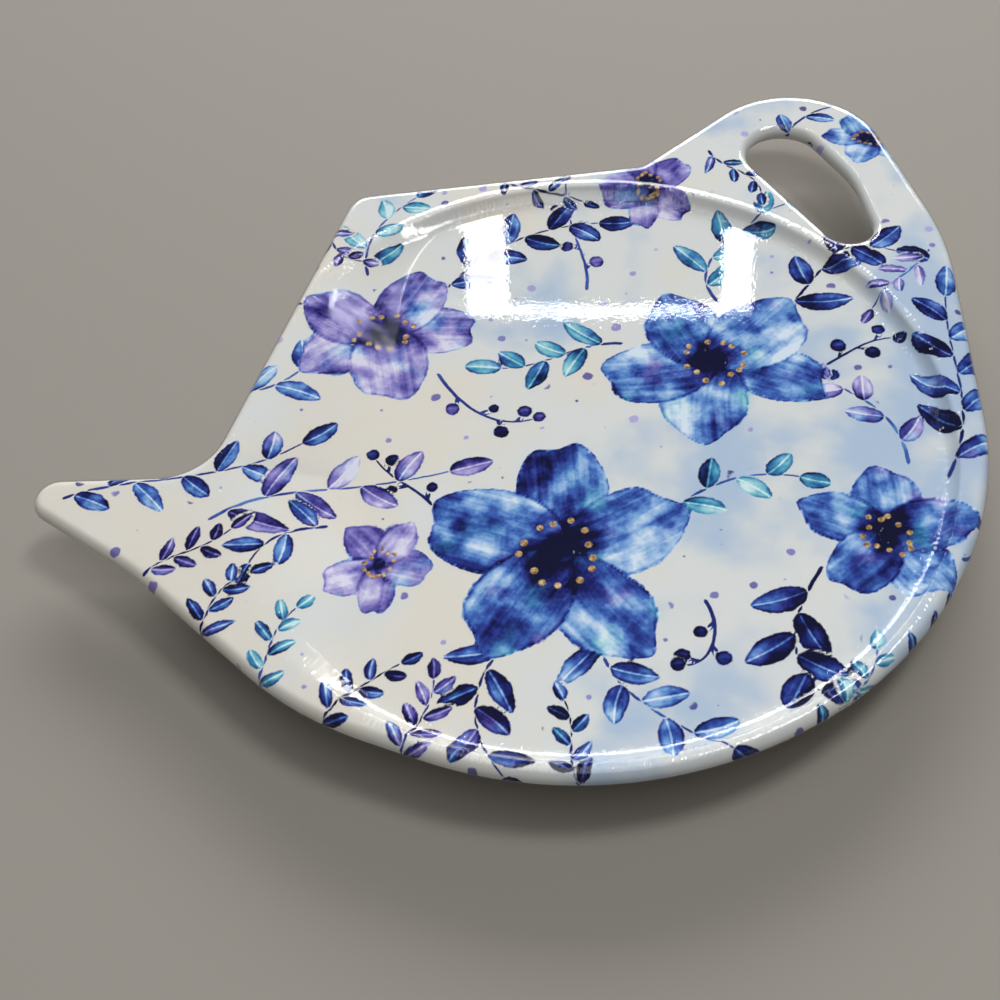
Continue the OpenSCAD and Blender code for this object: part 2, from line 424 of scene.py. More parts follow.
# Moulded body: the white melamine plate with its rim, spout, handle loop and foot ring
footSizes = {
    "r": 40.0,  # mm
    "w": 3.0,
    "flare": 1.2,
    "toe": 0.5,  # its flat's corners are rounded
    "toeSteps": 4,
    "turns": 144,
    "sunk": 1.5,  # mm that its root runs up into the dish
}


def addFootRing(bm, s):
    root = floorHeight(np.array([[s["r"], 0.0]]))[0] - skinSurfaces["bodyBottom"][0] + s["sunk"]
    corners = [
        (s["r"] - s["w"] / 2, 0),
        (s["r"] + s["w"] / 2, 0),
        (s["r"] + s["w"] / 2 + s["flare"], root),
        (s["r"] - s["w"] / 2 - s["flare"], root),
    ]
    verts = [bm.verts.new(toFrame([(x, 0, z)])[0]) for x, z in corners]
    bm.faces.new(verts)
    toes = [v for v in verts if v.co.z < 1e-6]
    bmesh.ops.bevel(
        bm,
        geom=toes,
        offset=s["toe"] * mm,
        affect="VERTICES",
        segments=s["toeSteps"],
        profile=0.5,
        material=-1,
    )
    # only the outline turns, so that no face is left inside
    bmesh.ops.delete(bm, geom=bm.faces[:], context="FACES_ONLY")
    bmesh.ops.spin(
        bm,
        geom=bm.verts[:] + bm.edges[:],
        cent=toFrame([(0, 0, 0)])[0],
        axis=(0, 0, 1),
        angle=2 * math.pi,
        steps=s["turns"],
        use_merge=True,
    )


bm = startShell(skinSurface("bodyTop"), skinSurface("bodyBottom"), False)
body = finishPiece("melamine_dish", bm)
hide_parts("moulded_body")

ring = bmesh.new()
addFootRing(ring, footSizes)
footRing = finishPiece("foot_ring", ring)
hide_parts("moulded_body")

# Clear glaze: a thin coat over the print
gap = sectionSizes["skinGap"]
bm = startShell(skinSurface("glazeTop"), skinSurface("foilTop", gap), True)
glaze = finishPiece("clear_coat", bm)
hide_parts("clear_glaze")

# Printed foil: a fine sheet, so that the print's own attributes stay sharp
foilSizes = {
    "cell": 0.45,  # mm between the points that the print is painted on
    "margin": 0.3,  # the trimmed grid stays this far inside the rim's round edge
    "finer": 3,
    "outer": {"edge": 7},
    "inner": {
        "floor": [0, 0.2, 0.45, 0.7, 0.88, 1],
        "wall": [0.3, 0.6, 0.85],
        "crest": [0],
        "edge": 2,
    },
}


def treeOf(places):
    tree = kdtree.KDTree(len(places))
    for i, at in enumerate(places):
        tree.insert((at[0], at[1], 0), i)
    tree.balance()
    return tree


def borderTree(loops):
    places = []
    for loop in loops:
        after = np.roll(loop, -1, 0)
        for t in (0, 0.25, 0.5, 0.75):
            places.append(loop + (after - loop) * t)
    return treeOf(np.concatenate(places))


def insideLoop(places, loop):
    inside = np.zeros(len(places), bool)
    for a, b in zip(loop, np.roll(loop, -1, 0)):
        if a[1] == b[1]:
            continue
        crosses = (a[1] > places[:, 1]) != (b[1] > places[:, 1])
        meets = a[0] + (places[:, 1] - a[1]) / (b[1] - a[1]) * (b[0] - a[0])
        inside ^= crosses & (places[:, 0] < meets)
    return inside


def addPrintGrid(bm, loops, s, layer, place):
    low = loops[0].min(0) - s["cell"]
    high = loops[0].max(0) + s["cell"]
    cells = np.ceil((high - low) / s["cell"]).astype(int)
    columns, rows = [int(c) for c in cells]
    made = bmesh.ops.create_grid(bm, x_segments=columns, y_segments=rows, size=0.5)["verts"]
    at = np.array([v.co[:2] for v in made]) + 0.5
    at = low + at * cells * s["cell"]
    keep = insideLoop(at, loops[0]) & ~insideLoop(at, loops[1])
    tree = borderTree(loops)
    for i in np.flatnonzero(keep):
        keep[i] = tree.find((at[i][0], at[i][1], 0))[2] > s["margin"]
    heights = surfaceHeight(at) - skinSurfaces["foilTop"][0]
    points = toFrame(np.column_stack([at, heights]))
    for v, point, there in zip(made, points, at):
        v.co = point
        v[layer] = -1
        v[place] = (there[0], there[1], 0)
    bmesh.ops.delete(bm, geom=[v for v, k in zip(made, keep) if not k], context="VERTS")
    # no corner may hang on by one point alone
    while True:
        pinched = [v for v in bm.verts if sum(e.is_boundary for e in v.link_edges) > 2]
        loose = [v for v in bm.verts if not v.link_faces]
        if not pinched and not loose:
            return
        bmesh.ops.delete(bm, geom=pinched + loose, context="VERTS")


def addMarkedStrip(bm, rings, layer, mark, place, base, outward, surface, steps):
    made = addStrip(bm, [toFrame(r) for r in rings], layer, mark)
    # the print keeps its scale as the foil is wrapped over the edge
    tree = treeOf(base)
    for v in made:
        step = min(v[layer] - mark, steps)
        at = (np.array(v.co[:2]) / mm - fitShift) / fitScale
        across = surface[1] * math.sin(math.radians(90 * step / steps))
        nearest = tree.find((at[0], at[1], 0))[1]
        around = [(nearest + k) % len(base) for k in range(-3, 4)]
        i = min(around, key=lambda k: np.hypot(*(base[k] + across * outward[k] - at)))
        wrapped = base[i] + outward[i] * surface[1] * math.radians(90 * step / steps)
        v[place] = (wrapped[0], wrapped[1], 0)


def buildFoil(s):
    top = skinSurface("foilTop")
    under = skinSurface("bodyTop", gap)
    places, normals = makeOutline(edgeCircles, outlineSizes, s["finer"])
    fine = makeSpokes(places, normals)
    holeLoop = holePlaces + edgeInset * holeNormals
    bm = bmesh.new()
    layer = bm.verts.layers.int.new("ring")
    place = bm.verts.layers.float_vector.new("printPlace")
    addPrintGrid(bm, [fine["rim"], holeLoop], s, layer, place)
    print("print grid:", len(bm.faces), "cells")
    steps = s["outer"]["edge"]
    rings = edgeRings(fine["rim"], normals, top, rimHigh - top[0], steps)
    rings += sheetRings(fine, under, s["inner"])[::-1]
    addMarkedStrip(bm, rings, layer, 0, place, fine["rim"], normals, top, steps)
    hole = holeRings(top, steps, False) + holeRings(under, s["inner"]["edge"])[::-1]
    addMarkedStrip(bm, hole, layer, holeMark, place, holeLoop, -holeNormals, top, steps)
    # the band between the grid's stepped border and the smooth edge, then the hole underneath
    fillBetween(bm, (-1, 0, holeMark), layer)
    band = len(rings) - sum(len(s["inner"][name]) for name in ("floor", "wall", "crest")) - 2
    joinHole(bm, band, holeMark + len(hole) - 1, layer)
    return finishPiece("printed_foil", bm)


foil = buildFoil(foilSizes)
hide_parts("decor_foil")

# The print: a generic scatter of five-petal blossoms, leafy sprigs and berries in washes of blue.
# Each shape is a brush stroke of changing width. Each point of the sheet keeps how deep it lies
# inside the front shape in mm, and how dark and of what hue that shape is there.
printSizes = {
    "halo": 0.3,  # mm of white that the painter leaves around a petal or leaf
    "strokeMargin": 2.5,  # mm round a stroke that is looked at, then round a line
    "lineMargin": 1.6,
    "petals": 5,
    "petalTurn": 6,  # degrees that a petal may lie off its place
    "petalLean": 0.12,  # share of its length that its belly may lie to a side
    "petalLength": (0.93, 1.05),  # this and the next four are shares of the blossom's radius
    "petalWide": 0.47,
    "ruffle": 0.045,
    "discR": 0.12,
    "antherReach": (0.26, 0.4),
    "petalSpread": (0.92, 1.08),  # how much narrower or wider a petal may be
    "petalSteps": 22,
    "petalShape": (0.75, 0.4),  # powers of its width from its root and from its tip
    "ruffleTurns": 5,
    "ruffleFrom": (0.45, 0.9),  # shares of the petal's length
    "anthers": 13,
    "antherR": (0.02, 0.3),  # a share of the blossom's radius, and mm on top
    "antherTurn": 8,
    "stemHalf": 0.34,
    "stemEnd": 0.45,  # share of its width that a stem ends with
    "stemSteps": 30,
    "lineReach": 0.9,  # mm round a stem that it is drawn in
    "leafTurn": 48,  # degrees between a leaf and its stem
    "leafTurnSpread": (0.85, 1.15),
    "leafSpread": (0.8, 1.2),
    "leafBow": 0.12,  # share of its length
    "leafGap": 0.3,  # mm between a leaf and the middle of its stem
    "leafSteps": 12,
    "leafShape": 0.85,
    "lastLeafAt": 0.97,  # share of the stem
    "leafShrink": 0.35,  # leaves are shorter by this share at the stem's tip
    "twigSteps": 24,
    "firstBerryAt": 0.25,
    "berryStalk": 2.6,
    "berryHalo": 0.1,
    "berrySpread": (0.85, 1.2),
    "seed": 7,
}

# How dark a stroke is: 0 is pale, 1 is the deepest paint
toneSizes = {
    "petalRoot": 1.05,
    "petalBelly": (0.7, 0.08, 0.6),  # how much paler, from which share of its length to which
    "petalTip": (0.22, 0.75, 1),  # darker again
    "petalSide": 0.14,
    "petalSpread": (-0.08, 0.1),
    "leaf": 0.16,
    "leafTip": 0.3,
    "leafSide": 0.1,
    "leafSpread": (-0.26, 0.14),
    "stem": 0.1,
    "berrySide": 0.12,
}

blue = 0.0
teal = -1.0
lilac = 1.0

# at and radius in mm, then turn, squash and squash direction in degrees, darkness and hue
blossoms = [
    ((-6, -22), 17.5, 12, 0.92, 20, 0.08, blue),
    ((25, 13), 15.5, 40, 0.86, 70, 0.0, blue),
    ((-31, 29), 14, 65, 0.8, 110, -0.06, lilac),
    ((43, -27), 11.5, 5, 0.8, 45, 0.05, blue),
    ((21, 57), 8.5, 30, 0.75, 0, -0.05, lilac),
    ((64, 62), 7, 20, 0.8, 60, 0.0, blue),
    ((-34, -20), 8, 50, 0.75, 150, -0.1, lilac),
]

# path, leaf count, leaf length, leaf half width, first leaf's share of the path, darkness and hue
sprigs = [
    (((-84, -1), (-70, 3), (-58, -4), (-44, 6)), 9, 9, 1.7, 0.06, 0.62, blue),
    (((-60, -9), (-48, -2), (-38, -6), (-20, -3)), 7, 10, 1.9, 0.1, 0.45, lilac),
    (((-62, 20), (-52, 14), (-46, 18), (-40, 28)), 5, 9, 1.9, 0.05, 0.5, blue),
    (((-21, 36), (-12, 47), (-2, 52), (12, 50)), 8, 9, 2.0, 0.12, 0.72, blue),
    (((-33, 43), (-34, 52), (-28, 58), (-22, 62)), 6, 8, 1.6, 0.1, 0.5, teal),
    (((37, 20), (48, 30), (50, 38), (62, 30)), 7, 9, 2.1, 0.14, 0.75, blue),
    (((28, 27), (24, 36), (34, 44), (46, 47)), 7, 9, 1.9, 0.14, 0.5, teal),
    (((46, 60), (50, 72), (62, 76), (69, 70)), 6, 6.5, 1.4, 0.1, 0.6, blue),
    (((55, -18), (64, -6), (61, 6), (66, 20)), 9, 9.5, 1.9, 0.1, 0.66, blue),
    (((50, -14), (52, -2), (44, 2), (42, 6)), 5, 7, 1.7, 0.15, 0.4, lilac),
    (((32, -31), (24, -40), (22, -48), (30, -56)), 7, 9, 2.2, 0.14, 0.8, blue),
    (((-2, -37), (-4, -46), (4, -52), (14, -60)), 7, 8.5, 1.8, 0.1, 0.55, blue),
    (((-15, -36), (-22, -42), (-24, -50), (-18, -60)), 7, 8, 1.7, 0.12, 0.72, blue),
    (((-42, -12), (-48, -12), (-52, -14), (-54, -19)), 4, 7.5, 1.5, 0.1, 0.68, blue),
    (((10, 20), (2, 22), (-4, 16), (-12, 18)), 6, 8, 1.8, 0.14, 0.6, teal),
    (((10, -18), (18, -12), (26, -10), (34, -14)), 5, 7.5, 1.7, 0.18, 0.5, teal),
    (((-70, -18), (-66, -14), (-62, -16), (-56, -11)), 7, 5, 1.0, 0.08, 0.7, lilac),
    (((-62, -31), (-59, -26), (-60, -22), (-53, -20)), 7, 5, 1.0, 0.08, 0.78, blue),
    (((-53, -41), (-50, -35), (-51, -31), (-46, -27)), 7, 5, 1.0, 0.08, 0.55, teal),
    (((-44, -48), (-40, -43), (-38, -41), (-31, -38)), 8, 5, 1.0, 0.06, 0.82, blue),
    (((-33, -55), (-32, -50), (-27, -47), (-27, -41)), 8, 5, 1.0, 0.06, 0.6, lilac),
    (((-8, -63), (-11, -57), (-7, -53), (-9, -47)), 7, 5, 1.0, 0.08, 0.82, blue),
    (((24, -61), (27, -56), (34, -53), (36, -46)), 8, 5, 1.0, 0.08, 0.5, teal),
    (((41, -53), (42, -47), (48, -45), (51, -40)), 7, 5, 1.0, 0.08, 0.8, blue),
    (((-42, 60), (-38, 52), (-40, 47), (-33, 46)), 7, 5, 1.0, 0.08, 0.6, lilac),
    (((-6, 64), (-3, 58), (4, 60), (9, 56)), 6, 4.5, 0.95, 0.08, 0.75, blue),
    (((34, 64), (35, 58), (42, 57), (41, 50)), 6, 4.5, 0.95, 0.08, 0.75, blue),
    (((66, 30), (61, 24), (58, 25), (53, 19)), 7, 5, 1.0, 0.08, 0.5, lilac),
    (((-83, 4), (-77, 6), (-71, 9), (-64, 10)), 7, 4.5, 0.95, 0.06, 0.7, lilac),
]

# path, berry count and size, darkness and hue
berryTwigs = [
    (((36, 6), (44, 8), (50, 14), (56, 12)), 5, 1.25, 0.85, blue),
    (((-22, 18), (-18, 8), (-12, 4), (-6, 6)), 5, 1.15, 0.7, lilac),
    (((-44, 36), (-50, 40), (-50, 46), (-44, 52)), 5, 1.2, 0.75, blue),
    (((14, -34), (16, -40), (12, -46), (8, -44)), 4, 1.1, 0.8, blue),
    (((52, -34), (56, -34), (60, -28), (62, -22)), 4, 1.1, 0.7, lilac),
    (((-24, -12), (-26, -6), (-32, -4), (-34, 2)), 4, 1.2, 0.8, blue),
    (((6, 34), (8, 42), (4, 48), (6, 62)), 5, 1.2, 0.6, lilac),
]

dot = np.array([(0, 0), (0.01, 0)])  # a stroke this short is round
noHalo = -printSizes["halo"]


def bend(points, count):
    t = np.linspace(0, 1, count)[:, None]
    rows = [np.array(p, float) + 0 * t for p in points]
    while len(rows) > 1:
        rows = [a + (b - a) * t for a, b in zip(rows, rows[1:])]
    return rows[0]


def makeCanvas(places):
    n = len(places)
    return {
        "places": places,
        "edge": np.full(n, -9.0),
        "tone": np.zeros(n),
        "hue": np.zeros(n),
        "leaf": np.zeros(n),
        "anther": np.full(n, -9.0),
        "grain": np.zeros((n, 3)),
        "lineAcross": np.full(n, 9.0),
        "lineHalf": np.full(n, -1.0),
        "lineTone": np.full(n, 0.7),
        "far": np.full(n, 9.0),
    }


def brush(places, path, half):
    # depth inside the stroke, share along it, side of it and half width there
    best = np.full(len(places), -1e9)
    along = np.zeros(len(places))
    side = np.zeros(len(places))
    wide = np.ones(len(places))
    for i in range(len(path) - 1):
        run = path[i + 1] - path[i]
        if not run.any():
            continue
        off = places - path[i]
        t = np.clip(off @ run / (run @ run), 0, 1)
        off = off - t[:, None] * run
        w = half[i] + (half[i + 1] - half[i]) * t
        depth = w - np.hypot(off[:, 0], off[:, 1])
        better = depth > best
        best = np.where(better, depth, best)
        along = np.where(better, (i + t) / (len(path) - 1), along)
        side = np.where(better, (run[0] * off[:, 1] - run[1] * off[:, 0]) / np.hypot(*run), side)
        wide = np.where(better, w, wide)
    return best, along, side, wide


def nearPath(canvas, path, reach):
    low = path.min(0) - reach
    high = path.max(0) + reach
    return np.flatnonzero(((canvas["places"] > low) & (canvas["places"] < high)).all(1))


def layStroke(canvas, path, half, tone, hue, leaf=0, halo=None, seed=0, ruffle=0):
    halo = printSizes["halo"] if halo is None else halo
    near = nearPath(canvas, path, half.max() + printSizes["strokeMargin"])
    if not len(near):
        return
    depth, along, side, wide = brush(canvas["places"][near], path, half)
    share = side / np.maximum(wide, 0.3)
    waves = ruffle * np.sin(printSizes["ruffleTurns"] * share + seed)
    depth = depth + waves * smooth(*printSizes["ruffleFrom"], along)
    canvas["edge"][near] = np.maximum(depth, np.minimum(canvas["edge"][near], -depth - halo))
    mine = depth > -halo / 2
    there = near[mine]
    canvas["tone"][there] = tone(along[mine], share[mine])
    canvas["hue"][there] = hue
    canvas["leaf"][there] = leaf
    length = np.hypot(*(path[-1] - path[0]))
    own = np.full(mine.sum(), seed * 7.3)  # keeps one stroke's streaks from running into the next
    canvas["grain"][there] = np.column_stack([along[mine] * length, side[mine], own])


def layLine(canvas, path, half, tone):
    near = nearPath(canvas, path, printSizes["lineMargin"])
    if not len(near):
        return
    depth, along, side, wide = brush(canvas["places"][near], path, half)
    distance = wide - depth
    better = distance < canvas["far"][near]
    there = near[better]
    canvas["far"][there] = distance[better]
    canvas["lineAcross"][there] = side[better]
    half = (wide - np.maximum(distance - np.abs(side), 0))[better]
    canvas["lineHalf"][there] = np.where(distance[better] < printSizes["lineReach"], half, -1)
    canvas["lineTone"][there] = tone


def squashed(points, middle, squash, direction):
    # a blossom seen a little from the side is narrower one way
    d = heading(math.radians(direction))
    off = points - middle
    return middle + off - np.outer(off @ d, d) * (1 - squash)


def layBlossom(canvas, rng, at, radius, turn, squash, direction, dark, hue):
    s = printSizes
    middle = np.array(at, float)
    t = np.linspace(0, 1, s["petalSteps"])
    rootPower, tipPower = s["petalShape"]
    profile = t ** rootPower * (1 - t) ** tipPower
    profile = profile / profile.max()
    for k in rng.permutation(s["petals"]):
        off = rng.uniform(-s["petalTurn"], s["petalTurn"])
        angle = math.radians(turn + 360 / s["petals"] * k + off)
        length = radius * rng.uniform(*s["petalLength"])
        lean = rng.uniform(-s["petalLean"], s["petalLean"])
        d = heading(angle)
        n = np.array([-d[1], d[0]])
        root = middle + d * radius * 0.03
        belly = middle + (d * 0.55 + n * lean) * length
        path = bend([root, belly, middle + d * length], s["petalSteps"])
        path = squashed(path, middle, squash, direction)
        shrink = math.hypot(*squashed(middle + n, middle, squash, direction).ravel() - middle)
        half = radius * s["petalWide"] * rng.uniform(*s["petalSpread"]) * profile * shrink + 0.02
        seed = rng.uniform(0, 9)
        lift = rng.uniform(*toneSizes["petalSpread"])

        def tone(a, u):
            pale, *bellyAt = toneSizes["petalBelly"]
            deep, *tipAt = toneSizes["petalTip"]
            inner = toneSizes["petalRoot"] + dark - pale * smooth(*bellyAt, a)
            return inner + deep * smooth(*tipAt, a) + lift + toneSizes["petalSide"] * u

        ruffle = s["ruffle"] * radius
        layStroke(canvas, path, half, tone, hue, halo=noHalo, seed=seed, ruffle=ruffle)
    disc = np.full(2, radius * s["discR"])
    root = toneSizes["petalRoot"]
    layStroke(canvas, middle + dot, disc, lambda a, u: root + 0 * a, blue, halo=noHalo)
    for k in range(s["anthers"]):
        off = rng.uniform(-s["antherTurn"], s["antherTurn"])
        angle = math.radians(turn + 360 / s["anthers"] * k + off)
        reach = radius * rng.uniform(*s["antherReach"])
        tip = squashed(np.array([middle + reach * heading(angle)]), middle, squash, direction)[0]
        share, least = s["antherR"]
        inside = share * radius + least - np.hypot(*(canvas["places"] - tip).T)
        canvas["anther"] = np.maximum(canvas["anther"], inside)


def layLeaf(canvas, rng, base, angle, length, half, dark, hue):
    d = heading(angle)
    n = np.array([-d[1], d[0]])
    bow = rng.uniform(-printSizes["leafBow"], printSizes["leafBow"]) * length
    steps = printSizes["leafSteps"]
    path = bend([base, base + d * length * 0.5 + n * bow, base + d * length], steps)
    t = np.linspace(0, 1, steps)
    profile = np.sin(math.pi * t ** printSizes["leafShape"]) ** printSizes["leafShape"]
    seed = rng.uniform(0, 9)
    lift = rng.uniform(*toneSizes["leafSpread"])
    wide = half * np.maximum(profile, 0) + 0.05

    def tone(a, u):
        inner = dark + lift + toneSizes["leaf"] - toneSizes["leafTip"] * a
        return inner + toneSizes["leafSide"] * np.sign(u)

    layStroke(canvas, path, wide, tone, hue, leaf=1, seed=seed)


def layStem(canvas, path, dark):
    half = printSizes["stemHalf"] * np.linspace(1, printSizes["stemEnd"], len(path))
    layLine(canvas, path, half, dark)


def laySprig(canvas, rng, points, count, length, half, first, dark, hue):
    s = printSizes
    path = bend(points, s["stemSteps"])
    last = len(path) - 1
    layStem(canvas, path, dark + toneSizes["stem"])
    turn = math.radians(s["leafTurn"])
    for k in range(count):
        share = first + (s["lastLeafAt"] - first) * k / max(count - 1, 1)
        i = min(int(share * last), last - 1)
        run = path[i + 1] - path[i]
        ahead = math.atan2(run[1], run[0])
        side = 0 if k == count - 1 else (1 if k % 2 else -1)  # the last leaf ends the stem
        size = length * (1 - s["leafShrink"] * share) * rng.uniform(*s["leafSpread"])
        base = path[i] + s["leafGap"] * heading(ahead + side * turn)
        angle = ahead + side * turn * rng.uniform(*s["leafTurnSpread"])
        layLeaf(canvas, rng, base, angle, size, half, dark, hue)


def layBerries(canvas, rng, points, count, size, dark, hue):
    s = printSizes
    path = bend(points, s["twigSteps"])
    last = len(path) - 1
    layStem(canvas, path, dark)
    start = s["firstBerryAt"]
    for k in range(count):
        i = int((start + (1 - start) * k / (count - 1)) * last)
        run = path[min(i + 1, last)] - path[max(i - 1, 0)]
        side = 1 if k % 2 else -1
        at = path[i]
        if k < count - 1:
            ahead = math.atan2(run[1], run[0])
            at = at + s["berryStalk"] * heading(ahead + side)
            layStem(canvas, bend([path[i], at], 6), dark)
        half = np.full(2, size * rng.uniform(*s["berrySpread"]))
        lit = toneSizes["berrySide"]
        layStroke(canvas, at + dot, half, lambda a, u: dark + lit * u, hue, halo=s["berryHalo"])


def paintPrint(piece):
    data = piece.data
    places = np.zeros(len(data.vertices) * 3, np.float32)
    data.attributes["printPlace"].data.foreach_get("vector", places)
    canvas = makeCanvas(places.reshape(-1, 3)[:, :2].astype(float))
    rng = np.random.default_rng(printSizes["seed"])
    for twig in berryTwigs:
        layBerries(canvas, rng, *twig)
    for sprig in sprigs:
        laySprig(canvas, rng, *sprig)
    for blossom in blossoms:
        layBlossom(canvas, rng, *blossom)
    # a stem passes behind petals and leaves
    half = canvas["lineHalf"]
    edge = canvas["edge"]
    canvas["lineHalf"] = np.where(edge > noHalo, np.minimum(half, -edge), half)
    for name in ("edge", "tone", "hue", "leaf", "anther", "lineAcross", "lineHalf", "lineTone"):
        layer = data.attributes.new("print" + name[0].upper() + name[1:], "FLOAT", "POINT")
        layer.data.foreach_set("value", canvas[name].astype(np.float32))
    layer = data.attributes.new("printGrain", "FLOAT_VECTOR", "POINT")
    layer.data.foreach_set("vector", canvas["grain"].astype(np.float32).ravel())
    print("print painted on", len(data.vertices), "points")


paintPrint(foil)


# Materials
def hexColour(code):
    # sRGB hex to linear
    parts = [int(code[i:i + 2], 16) / 255 for i in (0, 2, 4)]
    return tuple(p / 12.92 if p <= 0.04045 else ((p + 0.055) / 1.055) ** 2.4 for p in parts) + (1,)


def addNode(tree, kind, inputs=(), stops=(), **settings):
    node = tree.nodes.new("ShaderNode" + kind)
    for name, value in settings.items():
        setattr(node, name, value)
    for name, value in inputs.items() if isinstance(inputs, dict) else enumerate(inputs):
        if isinstance(value, bpy.types.NodeSocket):
            tree.links.new(value, node.inputs[name])
        else:
            node.inputs[name].default_value = value
    for i, (place, code) in enumerate(stops):
        spots = node.color_ramp.elements
        spot = spots[i] if i < len(spots) else spots.new(place)
        spot.position = place
        spot.color = hexColour(code)
    return node.outputs


# settings that many nodes share
plus = {"operation": "ADD"}
minus = {"operation": "SUBTRACT"}
times = {"operation": "MULTIPLY"}
scaleAdd = {"operation": "MULTIPLY_ADD"}
sizeOnly = {"operation": "ABSOLUTE"}
softStep = {"interpolation_type": "SMOOTHSTEP"}
inColour = {"data_type": "RGBA"}


def newMaterial(name):
    material = bpy.data.materials.new(name)
    material.use_nodes = True
    material.node_tree.nodes.clear()
    return material, material.node_tree


def placeInMm(tree):
    place = addNode(tree, "TexCoord")["Object"]
    return addNode(tree, "VectorMath", (place, (1 / mm,) * 3), **times)[0]


# White melamine resin, compression moulded: dense and cool to the eye, with a soft even gloss and
# faint flow marks
melamineLook = {
    "white": "E4E1DA",
    "shade": "DDD9D2",
    "gloss": (0.2, 0.28),
    "ior": 1.6,
    "flowMm": 14.0,
    "peelMm": 0.9,
    "peelStrength": 0.12,
    "peelHigh": 0.0001,  # metres
}


def makeMelamine(s):
    material, tree = newMaterial("white_melamine")
    at = placeInMm(tree)
    flow = addNode(tree, "TexNoise", {"Vector": at, "Scale": 1 / s["flowMm"], "Detail": 4.0})["Fac"]
    colour = addNode(tree, "ValToRGB", (flow,), [(0.35, s["shade"]), (0.65, s["white"])])[0]
    gloss = addNode(tree, "MapRange", (flow, 0.3, 0.7, *s["gloss"]))[0]
    peel = addNode(tree, "TexNoise", {"Vector": at, "Scale": 1 / s["peelMm"], "Detail": 2.0})["Fac"]
    raised = {"Height": peel, "Strength": s["peelStrength"], "Distance": s["peelHigh"]}
    bump = addNode(tree, "Bump", raised)[0]
    resin = {"Base Color": colour, "Roughness": gloss, "IOR": s["ior"], "Normal": bump}
    addNode(tree, "OutputMaterial", (addNode(tree, "BsdfPrincipled", resin)[0],))
    return material


# Decal foil under glaze: watercolour washes printed on white paper, with no gloss of their own
foilLook = {
    "roughness": 0.55,
    "paperWarm": "DFDBD1",
    "paperCool": "DADDDB",
    "coolFrom": (-0.3, 0.1),  # from none of it to all of it, as the drift grows
    "wash": "A9C0DA",
    "washFrom": (0.14, 0.5),
    "washCover": 0.85,
    "washDrift": 2.0,
    "eastDrift": 0.0035,  # washes grow denser with each mm to the right
    "detail": {"edge": 3.0, "tooth": 2.0, "bloom": 3.0, "tint": 2.0, "wash": 4.0},
    "washMm": 22.0,
    "edgeMm": 2.4,  # how far apart the brush's wobbles are
    "edgeWobble": 0.7,
    "toothMm": 0.6,  # grain of the paper that the pigment settles in
    "toothWobble": 0.26,
    "coverEdge": (-0.08, 0.16),  # mm inside a shape's outline
    "poolEdge": (0.1, 0.7),
    "poolDark": 0.26,  # paint dries darker at its outline
    "bloomMm": 5.0,
    "bloomDark": 1.76,
    "streakMm": 1.2,
    "streakDraw": 0.16,  # streaks are this much slower along their stroke
    "streakDark": 0.7,
    "toothDark": 0.2,
    "ribWobble": 0.14,  # a leaf keeps a pale midrib
    "ribEdge": (0.08, 0.24),  # mm from a leaf's middle line
    "ribDark": -0.34,
    "tintMm": 7.0,
    "tintDrift": 3.0,
    "tintFrom": (0.2, 0.9),
    "spotMm": 6.5,
    "spotPick": (0.3, 1.0),  # a cell that draws less than the first has no spot
    "spotR": 0.9,
    "spotEdge": (-0.1, 0.14),
    "spotClear": (-1.4, -0.9),  # mm from the shapes
    "spotCover": 0.9,
    "spotTone": (0.15, 0.75),
    "stemRag": 0.35,
    "stemEdge": (-0.07, 0.1),
    "stemDark": 0.7,
    "antherRag": 0.4,
    "antherEdge": (-0.06, 0.14),
}

blueStops = [
    (0.0, "D8E5F2"), (0.18, "A5C4E6"), (0.36, "6C9AD4"), (0.52, "3F66B6"),
    (0.66, "2A3F92"), (0.8, "1A2470"), (0.92, "0C104A"), (1.0, "060930"),
]
lilacStops = [
    (0.0, "DEDCEE"), (0.22, "B0AADB"), (0.45, "7C74BE"),
    (0.66, "463F92"), (0.85, "1E1A60"), (1.0, "0B0A38"),
]
tealStops = [
    (0.0, "D2EAEC"), (0.22, "8FCBD6"), (0.45, "4A9CBE"),
    (0.66, "2A6A9E"), (0.85, "16306E"), (1.0, "081238"),
]
ochreStops = [(0.3, "E0CFA6"), (0.45, "C4A670"), (0.6, "8E6F48"), (0.75, "4A3A34")]


